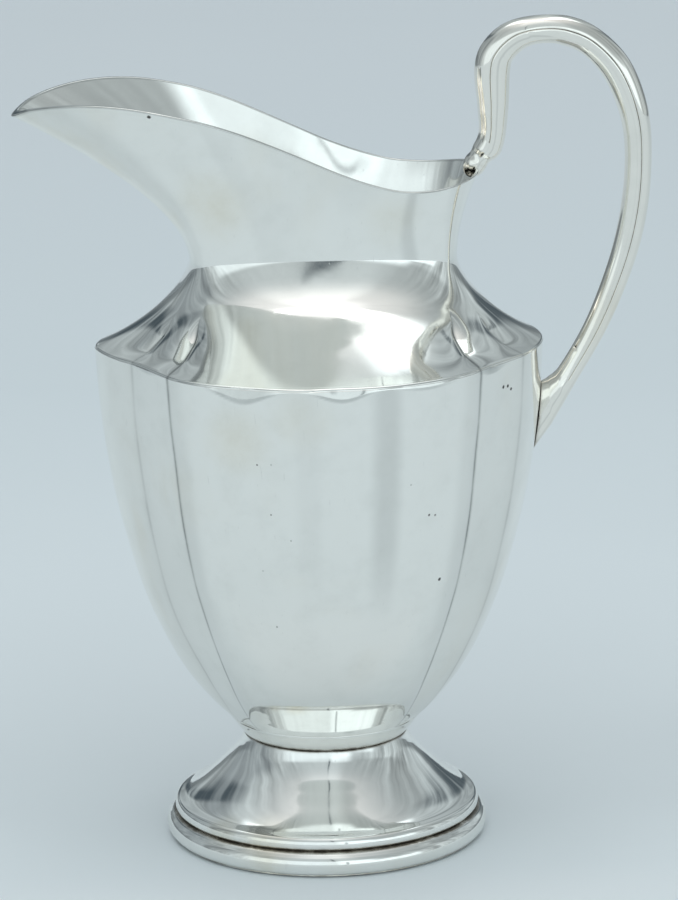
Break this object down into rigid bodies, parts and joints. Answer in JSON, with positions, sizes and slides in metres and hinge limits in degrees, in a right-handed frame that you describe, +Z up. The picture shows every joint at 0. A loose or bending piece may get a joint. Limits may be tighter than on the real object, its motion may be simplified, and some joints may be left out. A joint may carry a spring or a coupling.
{
  "type": "pitcher",
  "caption": "Polished silver pitcher with a panelled urn body on a round stepped pedestal foot, a cavetto shoulder, an oval neck, a long upswept helmet lip and a high hollow loop handle.",
  "frame": {"origin": "on the table, on the vertical axis of the body, under the middle of the foot", "axes": "+Z up, the lip points along -X, the handle stands along +X, the picture looks along +Y"},
  "size_m": [0.192, 0.1312, 0.2529],
  "materials": {
    "silver_body": "polished silver with light warm tarnish, small pits and hairline scratches",
    "silver_foot": "polished silver, dark tarnish in the step and in the joint",
    "silver_handle": "polished silver, brown tarnish where the handle meets the rim and the body"
  },
  "bodies": {
    "root": {"bowl": "silver_body", "bowl_bottom": "silver_body", "shoulder": "silver_body", "neck": "silver_body", "foot": "silver_foot", "foot_ring": "silver_foot", "handle_outer_half": "silver_handle", "handle_inner_half": "silver_handle", "handle_knuckle": "silver_handle", "handle_tail": "silver_handle"}
  },
  "joints": []
}
